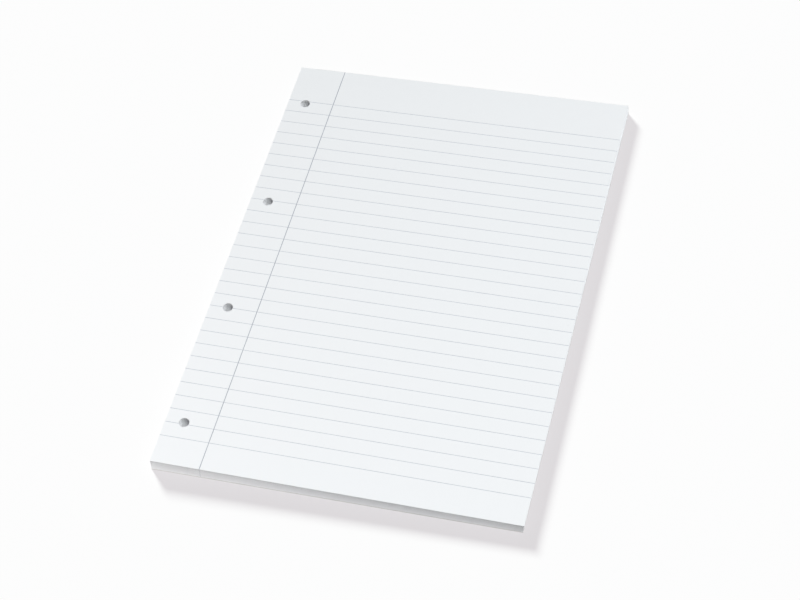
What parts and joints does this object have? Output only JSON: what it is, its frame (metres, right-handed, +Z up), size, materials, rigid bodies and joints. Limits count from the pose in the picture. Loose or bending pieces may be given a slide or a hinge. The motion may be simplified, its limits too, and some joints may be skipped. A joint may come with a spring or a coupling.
{
  "type": "legal pad",
  "caption": "Ruled writing pad with a margin line, gummed along its head to a card backing board and punched down its left edge for ring binders.",
  "frame": {"origin": "middle of the underside", "axes": "+X across the sheet from the punched edge to the free edge, +Y from the foot to the gummed head, +Z up out of the top leaf"},
  "size_m": [0.211, 0.2974, 0.0092],
  "materials": {
    "white_paper": "matte",
    "grey_card": "matte",
    "clear_gum": "satin",
    "rule_ink": "matte",
    "margin_ink": "matte"
  },
  "bodies": {
    "root": {"page_block": "white_paper", "backing_board": "grey_card", "binding_gum": "clear_gum", "ruled_lines": "rule_ink", "margin_line": "margin_ink"}
  },
  "joints": []
}
